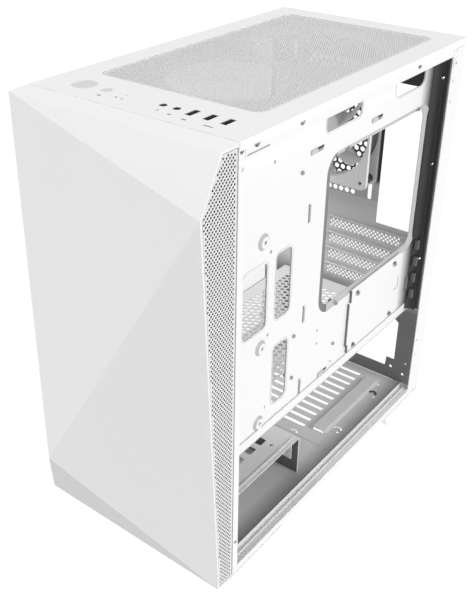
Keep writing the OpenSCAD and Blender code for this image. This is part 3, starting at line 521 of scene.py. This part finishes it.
USB_LOW, USB_HIGH = TOP - 14.38, TOP - 0.4
shells, tongues = [], []
for x in (43.3, 60.1, 76.4):
    outer = rounded((x - 2.85, -IO_Y - 6.55), (x + 2.85, -IO_Y + 6.55), 0.6, 3)
    inner = rounded((x - 2.5, -IO_Y - 6.2), (x + 2.5, -IO_Y + 6.2), 0.4, 3)
    shells.append(tube_of([[(u, v, z) for u, v in loop] for loop, z in
                           ((outer, USB_LOW), (outer, USB_HIGH), (inner, USB_HIGH), (inner, USB_LOW + 1))],
                          around=False))
    tongues.append(block((x - 0.9, -IO_Y - 5.6, USB_LOW + 1), (x + 0.9, -IO_Y + 5.6, USB_HIGH - 2.4), 0.3))
    for y in (-IO_Y - 3.5, -IO_Y - 1.2, -IO_Y + 1.2, -IO_Y + 3.5):
        tongues.append(block((x - 1.1, y - 0.6, USB_LOW + 2), (x + 1.1, y + 0.6, USB_HIGH - 2.7)))
piece("usb_shells", join(*shells), tin_plate, "chassis", "socket_metal", "usb_sockets")
piece("usb_tongues", join(*tongues), socket_pbt, "chassis", "socket_metal")
for node in ("power_button", "reset_button"):
    piece(node + "_cap", softened(node, 0.35), button_abs, node.replace("button", "key"), "button_plastic", node)
for node in ("foot_front_left", "foot_front_right", "foot_rear_left", "foot_rear_right"):
    piece(node + "_shell", softened(node, 0.8), foot_abs, "chassis", "foot_plastic", node)
piece("glass_pane", softened("glass_panel", 0.5), float_glass, "side_glass", "side_glass", "glass_panel")


# ---------------------------------------------------------------- rear wall: grille and slot covers

# The grille's outline: a square with cut corners, and a narrower band above and below it.
side, cut = 53.0, 16.0
grille = [(-side + cut, -side - 26.7), (side - cut, -side - 26.7), (side - cut, -side), (side, -side + cut),
          (side, side - cut), (side - cut, side), (side - cut, side + 20), (-side + cut, side + 20),
          (-side + cut, side), (-side, side - cut), (-side, -side + cut), (-side + cut, -side)]
grille = [(u + FAN_X, v + FAN_Z) for u, v in grille]
# The grille's inner face is drawn in painted shade, its outer face white.
made = sheet([grille], "-Y", WALL_Y + STEEL, STEEL, fan_wall_painted_shade, dict(HEX, margin=0.3, shift=(2.0, 3.7)))
white_outside(piece("rear_grille", made, fan_wall_painted_shade, "chassis", "white_steel"))

# Window for the power supply's face.
psu_window = [(-50, 47.1), (73.5, 47.1), (74.5, 59.3), (84.5, 59.3), (84.5, 110), (76.5, 117), (49, 117), (49, 124),
              (-42, 124), (-42, 105), (-50, 105)]
# Openings of the expansion slots, wider at the end where a card's bracket tucks in.
slots = []
for i in range(4):
    top = SLOT_TOP - i * SLOT_PITCH
    slots.append([(SLOT_LEFT - 1.4, top - 19.2), (SLOT_LEFT + 3.6, top - 19.2), (SLOT_LEFT + 3.6, top - 16),
                  (SLOT_RIGHT - 4.8, top - 16), (SLOT_RIGHT - 4.8, top - 3.5), (SLOT_LEFT + 3.6, top - 3.5),
                  (SLOT_LEFT + 3.6, top - 0.4), (SLOT_LEFT - 1.4, top - 0.4)])
# Upright slots in which the fan's screws slide.
fan_slots = []
for x in (-52.5, 52.5):
    for z, way in ((-52.5, -1), (52.5, 1)):
        ends = sorted((FAN_Z + z - way * 6, FAN_Z + z + way * 27))
        fan_slots.append(rounded((FAN_X + x - 2.4, ends[0]), (FAN_X + x + 2.4, ends[1]), 2.3))
# The rear wall's lower part: grey painted shade inside, white outside.
wall = sheet([[(-103.4, 31.3), (91.8, 31.3), (91.8, 226), (42.6, 226), (42.6, 250.9), (-103.4, 250.9)], psu_window]
             + slots + [ring(81, 48.4, 1.9), ring(-57, 48.4, 1.9), ring(-57, 112.4, 1.9)],
             "-Y", WALL_Y + STEEL, STEEL, inner_wall_painted_shade)
white_outside(piece("rear_wall", wall, inner_wall_painted_shade, "chassis", "white_steel", "rear_panel"))
# The rear wall's upper part round the fan: painted shade inside, white outside.
wall = sheet([[(-103.4, 250.95), (42.6, 250.95), (42.6, 386.25), (87.05, 386.25), (87.05, 226), (91.8, 226),
               (91.8, 427.9), (-103.4, 427.9)], grille] + fan_slots, "-Y", WALL_Y + STEEL, STEEL, fan_wall_painted_shade)
white_outside(piece("rear_wall_top", wall, fan_wall_painted_shade, "chassis", "white_steel"))
# The strip beside the tray, drawn charcoal as painted shade.
beside = sheet([[(91.8, 137), (105.9, 137), (105.9, 427.9), (91.8, 427.9)], ring(97, 140.8, 1.8),
                ring(97, 244.9, 1.8)], "-Y", WALL_Y + STEEL, STEEL, charcoal_painted_shade)
white_outside(piece("rear_strip", beside, charcoal_painted_shade, "chassis", "white_steel"))
# The fold between that strip and the rear flange, in mid grey painted shade.
piece("rear_strip_edge", block((104.8, WALL_Y - 1.0, 137), (105.8, WALL_Y - 0.1, 427.8), 0.2), mid_grey_painted_shade, "chassis",
      "white_steel")
# Tabs on that strip, in mid grey painted shade.
tabs = [block((93.4, WALL_Y - 4.6, z - 4.5), (98.2, WALL_Y - 0.1, z + 6.5), 0.5)
        for z in (215.5, 195.2, 174.9, 154.6)]
piece("rear_strip_tabs", join(*tabs), mid_grey_painted_shade, "chassis", "white_steel")
# The strip's lower part, in the wall's grey painted shade.
below = sheet([[(91.8, 31.3), (105.9, 31.3), (105.9, 137), (91.8, 137)], ring(97, 43.2, 1.8)], "-Y", WALL_Y + STEEL,
              STEEL, inner_wall_painted_shade)
white_outside(piece("rear_strip_low", below, inner_wall_painted_shade, "chassis", "white_steel"))

# Slot covers: a perforated plate, a screw tab and a stiffening rib, with a bent lip of the wall above each; the plates
# are drawn in the rear wall's grey painted shade.
lips = []
for i in range(4):
    top = SLOT_TOP - i * SLOT_PITCH
    outline = [(SLOT_LEFT - 0.8, top - 19.9), (SLOT_RIGHT - 1, top - 19.9), (SLOT_RIGHT - 1, top),
               (SLOT_LEFT - 0.8, top)]
    holes = {"across": 5.2, "along": 2.6, "radius": 1.35, "sides": 8, "margin": 0.2,
             "area": ((SLOT_LEFT + 9, top - 12.4), (SLOT_RIGHT - 14, top - 4.0))}
    plate = sheet([outline], "-Y", WALL_Y - 0.2, 0.5, inner_wall_painted_shade, holes)
    tab = block((SLOT_LEFT - 0.8, WALL_Y - 0.2, top - 18.4), (SLOT_LEFT + 0.1, WALL_Y + 10.5, top - 1.2), 0.2)
    rib = block((SLOT_LEFT + 6, WALL_Y - 1.5, top - 16.5), (SLOT_RIGHT - 10, WALL_Y - 0.6, top - 15.3), 0.3)
    lips.append(block((SLOT_LEFT + 2, WALL_Y - 3.2, top - 0.9), (SLOT_RIGHT - 4, WALL_Y - 0.6, top), 0.3))
    white_outside(piece(f"slot_plate_{i + 1}", join(plate, tab, rib), inner_wall_painted_shade, "chassis", "white_steel",
                        f"slot_cover_{i + 1}"))
piece("slot_lips", join(*lips), powder_coat, "chassis", "white_steel")


# ---------------------------------------------------------------- rear fan

def ring_tree():
    """Geometry Nodes: copies a shape evenly round the Z axis."""
    tree = bpy.data.node_groups.new("Ring copies", "GeometryNodeTree")
    face = tree.interface
    face.new_socket("Geometry", in_out="INPUT", socket_type="NodeSocketGeometry")
    face.new_socket("Copies", in_out="INPUT", socket_type="NodeSocketInt")
    face.new_socket("Step", in_out="INPUT", socket_type="NodeSocketFloat")
    face.new_socket("Material", in_out="INPUT", socket_type="NodeSocketMaterial")
    face.new_socket("Geometry", in_out="OUTPUT", socket_type="NodeSocketGeometry")
    given = add(tree, "NodeGroupInput").outputs
    index = add(tree, "GeometryNodeInputIndex").outputs[0]
    angle = add(tree, "ShaderNodeMath", {"operation": "MULTIPLY"}, _0=index, _1=given["Step"]).outputs[0]
    turn = add(tree, "ShaderNodeCombineXYZ", None, Z=angle).outputs[0]
    points = add(tree, "GeometryNodePoints", None, Count=given["Copies"]).outputs[0]
    copies = add(tree, "GeometryNodeInstanceOnPoints", None, Points=points, Instance=given["Geometry"],
                 Rotation=turn).outputs[0]
    real = add(tree, "GeometryNodeRealizeInstances", None, Geometry=copies).outputs[0]
    painted = add(tree, "GeometryNodeSetMaterial", None, Geometry=real, Material=given["Material"]).outputs[0]
    add(tree, "NodeGroupOutput", None, Geometry=painted)
    return tree


# One blade, swept forward and pitched, from the hub out to the duct.
blade = []
for i in range(8):
    r = 18.6 + i * 5.0
    sweep = 16 * (i / 7) ** 1.6
    chord = []
    for k in range(9):
        across = k / 4 - 1
        turn = math.radians(sweep) + across * 4.0 / r
        chord.append((r * math.cos(turn), r * math.sin(turn), 12.6 - across * 6.0 + 1.2 * across * across))
    blade.append([(x, y, z + 0.6) for x, y, z in chord] + [(x, y, z - 0.6) for x, y, z in chord[::-1]])
blades = run_tree(tube_of(blade, around=False), ring_tree(),
                  {"Copies": 9, "Step": 2 * math.pi / 9, "Material": fan_pbt})
hub = tube_of([[(u, v, z) for u, v in ring(0, 0, r, 48)] for r, z in
               ((17.6, 22), (19, 21.6), (19.5, 20.6), (19.5, 5), (17.5, 5), (17.5, 19), (2, 19), (2, 4.5))],
              around=False)
rotor = join(blades, hub)
# The fan is drawn lying on its rim, then stood against the rear wall.
in_place = Matrix.Translation(Vector((FAN_X, WALL_Y - 0.2, FAN_Z)) * MM) @ Matrix.Rotation(math.pi / 2, 4, "X")
rotor.transform(in_place @ Matrix.Rotation(math.radians(24), 4, "Z"))
piece("fan_wheel", rotor, fan_pbt, "fan_rotor", "fan_plastic", "rear_fan_rotor")

screws = [(u, v) for u in (-52.5, 52.5) for v in (-52.5, 52.5)]
flanges = [sheet([rounded((-60, -60), (60, 60), 6), ring(0, 0, 57.5, 96)] + [ring(u, v, 2.15) for u, v in screws],
                 "+Z", low, 4, fan_pbt) for low in (0, 21)]
for turn in (45, 135, 225, 315):
    strut = block((18, -2, 0.5), (58.4, 2, 3.4), 0.4)
    strut.transform(Matrix.Rotation(math.radians(turn), 4, "Z"))
    flanges.append(strut)
flanges.append(tube_of([[(u, v, z) for u, v in ring(0, 0, r, 48)]
                        for r, z in ((20, 0.5), (20, 3.5), (5, 3.5), (5, 16))], around=False))
flanges.append(tube_of([[(u, v, z) for u, v in ring(0, 0, r, 96)]
                        for r, z in ((58.0, 3.8), (58.0, 21.2), (57.6, 21.2), (57.6, 3.8))]))
rims = join(*flanges)
rims.transform(in_place)
piece("fan_frame_shell", rims, fan_pbt, "chassis", "fan_plastic", "rear_fan_frame")
# The duct and the screw posts, drawn charcoal as painted shade.
core = [tube_of([[(u, v, z) for u, v in ring(0, 0, r, 96)]
                 for r, z in ((58.6, 3.9), (58.6, 21.1), (58.1, 21.1), (58.1, 3.9))])]
for x, y in screws:
    core.append(tube_of([[(u, v, z) for u, v in ring(x, y, r)]
                         for r, z in ((4.6, 3.9), (4.6, 21.1), (2.2, 21.1), (2.2, 3.9))]))
core = join(*core)
core.transform(in_place)
piece("fan_duct_painted_shade", core, fan_duct_painted_shade, "chassis", "fan_plastic")


# ---------------------------------------------------------------- floor

FLOOR_Z = 31.2
# Ventilation slots under the power supply, half-round lances, and the openings under the raised bridges.
vents = [rounded((-37, 41 + 12.15 * i), (51, 46 + 12.15 * i), 2.4, 4) for i in range(11)]
ARC = [(math.cos(math.radians(a)), math.sin(math.radians(a))) for a in range(0, 181, 15)]
arcs = [[(x + 5 * u, y + 5 * v) for u, v in ARC] + [(x + 3.2 * u, y + 3.2 * v) for u, v in ARC[::-1]]
        for x, y in ((46.7, 26.5), (82.3, 60.5))]
under_bridges = [rounded((low, 44.5), (high, 161.5), 1, 2) for low, high in ((59.8, 75.8), (-60.8, -44.8))]
# The floor sheet, in grey painted shade that darkens towards the cable side.
pan = sheet([[(-95, -161), (96, -161), (96, 180.4), (-95, 180.4)]] + vents + under_bridges + arcs
            + [ring(85, 56, 1.6), ring(85.5, 136.5, 1.6), ring(77.4, 160.8, 1.6)], "+Z", FLOOR_Z - STEEL, STEEL,
            floor_painted_shade)
raised = [block((21.7, 24, FLOOR_Z - 0.1), (82, 26.5, FLOOR_Z + 0.9), 0.3)]
for low, high in ((58.6, 77), (-62, -43.6)):
    loop = [(low, 31.1), (low + 2.4, 35.2), (high - 2.4, 35.2), (high, 31.1), (high - 1.6, 31.1), (high - 3.2, 34.4),
            (low + 3.2, 34.4), (low + 1.6, 31.1)]
    raised.append(tube_of([[(x, y, z) for x, z in loop] for y in (44, 163)], around=False))
piece("pan_floor", join(pan, *raised), floor_painted_shade, "chassis", "white_steel", "bottom_pan")
# The arch of a floor lance, drawn charcoal as painted shade.
loop = [(80.9 + 4.8 * u, 140.5 + 4.8 * v) for u, v in ARC] + [(80.9 + 3 * u, 140.5 + 3 * v) for u, v in ARC[::-1]]
piece("pan_arch", tube_of([[(u, v, z) for u, v in loop] for z in (31.1, 32.4)], around=False), charcoal_painted_shade, "chassis",
      "white_steel")
# Each side of the floor: an upright wall, a ledge, a skirt below it and a rib along it.
sides = []
for inner, outer in ((96.0, 106.8), (-95.0, -104.3)):
    way = 1 if outer > 0 else -1
    for low, high, y0, y1, z0, z1 in ((inner - 0.9 * way, inner - 0.1 * way, -160.9, 180.3, 23.6, FLOOR_Z - 0.2),
                                      (inner - 0.6 * way, outer - 0.2 * way, -161.4, 204.7, 23.5, 24.3),
                                      (outer - STEEL * way, outer, -161.5, 204.8, 17, 24.1),
                                      (inner + 3.2 * way, inner + 4.4 * way, -154.5, 196.8, 23.7, 25.9)):
        sides.append(block((min(low, high), y0, z0), (max(low, high), y1, z1), 0.2))
piece("pan_sides", join(*sides), powder_coat, "chassis", "white_steel")


# The inside of the drive cage's rear wall: a mid grey sheet as painted shade.
piece("cage_inner_face", block((-65, -25.1, 31.5), (85.2, -24.9, 75.4)), mid_grey_painted_shade, "chassis", "white_steel")


# ---------------------------------------------------------------- motherboard tray

# Places on the tray as (y, z): the cooler cut-out's rim, raised bosses, standoff holes, spare holes, cable openings,
# bridges for cable ties as (y, low, high), and hooks as (y start, y end, low, high).
COOLER_OUT = rounded((-15.5, 216.0), (177.0, 376.5), 19, 8)
COOLER_IN = rounded((-6.0, 221.6), (168.5, 371.3), 12, 8)
BOSSES = [(-107, 151), (-107, 231.5), (-107, 332.5)]
BOARD = [(149.04, 374.7), (16.96, 374.7), (-55.43, 374.7)]
BOARD += [(y, z) for z in (217.22, 171.5) for y in (171.9, 16.96, -55.43)]
SPARE = [(-95.3, 396.5), (-96.2, 319.3), (-96.8, 239.7), (-97.3, 163.1), (-14.4, 202.3), (-14, 187), (15.1, 151.3)]
SPARE += [(95.5 + y, 179.7 + z) for y in (-38.3, 38.3) for z in (-30.85, 30.85)]
CABLES = [((-133.7, 249.8), (-100.4, 312.3), 5), ((-87, 249), (-64.6, 313), 5), ((-87, 159), (-65, 221.5), 5),
          ((-21, 398.3), (36.4, 419), 4), ((98, 397.5), (157, 419), 8)]
BRIDGES = [(-40.5, 324, 342), (-40.5, 224, 242), (-40.5, 144, 162), (168.6, 161, 180)]
HOOKS = [(-44, -24, 387, 390), (56, 75.5, 387, 390), (-8, 8, 146, 149)]

openings = [COOLER_OUT] + [rounded(low, high, r) for low, high, r in CABLES]
openings += [ring(y, z, 1.9) for y, z in BOARD + BOSSES] + [ring(y, z, 1.6, 10) for y, z in SPARE]
openings += [rounded((y - 1.9, low), (y - 0.3, high), 0.5, 2) for y, low, high in BRIDGES]
openings += [rounded((a + 9, low - 1.6), (b, low), 0.5, 2) for a, b, low, high in HOOKS]
plate = sheet([[(-159.9, 135), (173.5, 135), (173.5, 427.9), (-159.9, 427.9)]] + openings, "+X", TRAY_X - STEEL,
              STEEL, tray_painted_shade)
front_fold = folded([(TRAY_X - 0.4, -159.6), (TRAY_X + 0.3, -160.3), (TRAY_X + 12, -160.3)], STEEL, 135, 427.9)
lips = []
for low, high, r in CABLES:
    lips.append(pressed_rim(rounded((low[0] - 1.5, low[1] - 1.5), (high[0] + 1.5, high[1] + 1.5), r + 1.5),
                            rounded(low, high, r), TRAY_X + 0.7, 1.4))
cones = []
for y, z in BOSSES:
    for group, profile in ((lips, ((TRAY_X - 0.2, 5.0), (TRAY_X + 2.2, 5.0), (TRAY_X + 2.2, 1.9),
                                   (TRAY_X - 0.2, 1.9))),
                           (cones, ((TRAY_X + 0.02, 7.4), (TRAY_X + 2.0, 5.6), (TRAY_X + 2.16, 5.02),
                                    (TRAY_X + 0.02, 5.02)))):
        group.append(tube_of([[(x, u, v) for u, v in ring(y, z, r, 32)] for x, r in profile]))
for y, low, high in BRIDGES:
    lips.append(tube_of([[(x, y + t, z) for x, t in ((TRAY_X - 0.3, -0.3), (TRAY_X + lift, -0.3),
                                                     (TRAY_X + lift, 2.4), (TRAY_X - 0.3, 2.4))]
                         for z, lift in ((low, 0.1), (low + 2.2, 1.7), (high - 2.2, 1.7), (high, 0.1))], around=False))
# Charcoal painted shade in the hooks' slots.
dark = [block((TRAY_X + 0.02, a + 10, low + 0.4), (TRAY_X + 0.1, b, high)) for a, b, low, high in HOOKS]
piece("tray_hook_slot_painted_shade", join(*dark), charcoal_painted_shade, "chassis", "white_steel")
# The bosses' slopes and the hooks, in light grey painted shade.
cones += [block((TRAY_X + 0.02, a, low - 1.2), (TRAY_X + 1.4, a + 9, high), 0.4) for a, b, low, high in HOOKS]
piece("tray_boss_slopes", join(*cones), light_grey_painted_shade, "chassis", "white_steel")
# The tray, with its painted shade at the rear bend.
piece("tray_plate", join(plate, front_fold, *lips), tray_painted_shade, "chassis", "white_steel", "motherboard_tray")

# The tray's bend towards the rear wall, drawn charcoal as painted shade.
arc = [(TRAY_X + 6.2 + 6.6 * math.cos(math.radians(a)), 173.5 + 6.6 * math.sin(math.radians(a)))
       for a in range(180, 89, -9)]
piece("tray_rear_bend", folded(arc + [(TRAY_X + 10, 180.1)], STEEL, 135, 427.9), charcoal_painted_shade, "chassis",
      "white_steel")

# The rim slopes inwards round the cooler cut-out; it is drawn grey as painted shade, its front part darker.
lit, unlit = [], []
for i in range(len(COOLER_OUT)):
    k = (i + 1) % len(COOLER_OUT)
    corners = [(TRAY_X, *COOLER_OUT[i]), (TRAY_X, *COOLER_OUT[k]), (TRAY_X - 2.6, *COOLER_IN[k]),
               (TRAY_X - 2.6, *COOLER_IN[i])]
    under = [(x - 0.7, y, z) for x, y, z in corners]
    part = tube_of([corners, under], around=False)
    (unlit if max(COOLER_OUT[i][0], COOLER_OUT[k][0]) < 2 else lit).append(part)
piece("cooler_rim", join(*lit), light_grey_painted_shade, "chassis", "white_steel")
piece("cooler_rim_front", join(*unlit), mid_grey_painted_shade, "chassis", "white_steel")

# The drive plate, with the fold along its front edge in mid grey painted shade.
plate_line = [(43.6, 146), (152, 146), (152, 213), (146, 218.8), (43.6, 218.8), (43.6, 206), (40.6, 204), (40.6, 156),
              (43.6, 154)]
drive_plate = sheet([plate_line, rounded((138, 176), (149, 190), 2)]
                    + [ring(95.5 + y, 179.7 + z, 1.6) for y in (-38.3, 38.3) for z in (-30.85, 30.85)], "+X",
                    TRAY_X + 0.05, 1.0, powder_coat)
fold_line = [block((TRAY_X + 0.2, y, low), (TRAY_X + 2.4, y + 0.9, high), 0.2)
             for y, low, high in ((43.5, 146, 155), (40.5, 155, 205), (43.5, 205, 218.8))]
piece("drive_plate_shell", drive_plate, powder_coat, "chassis", "white_steel", "ssd_plate")
piece("drive_plate_fold", join(*fold_line), mid_grey_painted_shade, "chassis", "white_steel")


# ---------------------------------------------------------------- shroud over the power supply

top_plate = sheet([[(SHROUD_LEFT, -159.5), (TRAY_X + 1.2, -159.5), (TRAY_X + 1.2, 179.8), (SHROUD_LEFT, 179.8)],
                   rounded((53.5, -140), (TRAY_X - 4, -4), 3)], "+Z", SHROUD_Z - STEEL, STEEL, powder_coat,
                  {"across": 12.98, "along": 3.75, "radius": 3.1, "sides": 6, "turn": 0.0, "margin": 0.5,
                   "area": ((-55, -60), (50, 158))})
left_wall = sheet([[(-159.5, 31.3), (179.8, 31.3), (179.8, SHROUD_Z), (-159.5, SHROUD_Z)],
                   rounded((-10, 74.5), (133, 118), 4)], "+X", SHROUD_LEFT, STEEL, powder_coat)
strip = block((TRAY_X + 0.4, -158.5, SHROUD_Z - STEEL), (TRAY_X + 1.2, 171.8, 144), 0.2)
piece("shroud_shell", join(top_plate, left_wall, strip), powder_coat, "chassis", "white_steel", "psu_shroud")


# ---------------------------------------------------------------- stage, light and camera

floor = bpy.data.meshes.new("floor")
floor.from_pydata([(-40, -40, 0), (40, -40, 0), (40, 40, 0), (-40, 40, 0)], [], [(0, 1, 2, 3)])
floor = bpy.data.objects.new("floor", floor)
bpy.context.scene.collection.objects.link(floor)
glow = {"Emission Color": (1, 1, 1, 1), "Emission Strength": 1.0}
# The studio's floor glows evenly, so that it stays white and lights the case from below.
floor.data.materials.append(finish_of("studio_floor_white", "#101010", 0.9, 5.0, 0.01, 0.0, **glow))
floor.location.z = -0.0002

world = bpy.data.worlds.new("studio")
bpy.context.scene.world = world
world.use_nodes = True
world.node_tree.nodes["Background"].inputs["Color"].default_value = (1, 1, 1, 1)
world.node_tree.nodes["Background"].inputs["Strength"].default_value = 0.2


def soft_sun(name, place, strength, angle):
    """A wide, soft sun that shines from a place towards the origin."""
    light = bpy.data.lights.new(name, "SUN")
    light.energy = strength
    light.angle = angle
    obj = bpy.data.objects.new(name, light)
    bpy.context.scene.collection.objects.link(obj)
    obj.location = place
    obj.rotation_euler = (-Vector(place)).to_track_quat("-Z", "Y").to_euler()


soft_sun("key_side", (0.95, 0.05, 0.48), 2.0, 0.5)
soft_sun("fill_face", (-0.61, -0.32, 0.72), 2.7, 0.6)

scene = bpy.context.scene
scene.view_settings.view_transform = "Standard"
camera = bpy.data.cameras.new("camera")
camera.sensor_width = 36
camera.sensor_fit = "AUTO"
camera.lens = 51.50
camera.shift_x = 0.0397
camera.shift_y = -0.0444
eye = bpy.data.objects.new("camera", camera)
scene.collection.objects.link(eye)
forward = Vector((-0.5420, 0.68425, -0.48788)).normalized()
right = Vector((0.78370, 0.62114, 0.00050)).normalized()
up = right.cross(forward).normalized()
right = forward.cross(up).normalized()
turned = Matrix((right, up, -forward)).transposed().to_4x4()
eye.matrix_world = Matrix.Translation((0.43489, -0.60401, 0.64159)) @ turned
scene.camera = eye
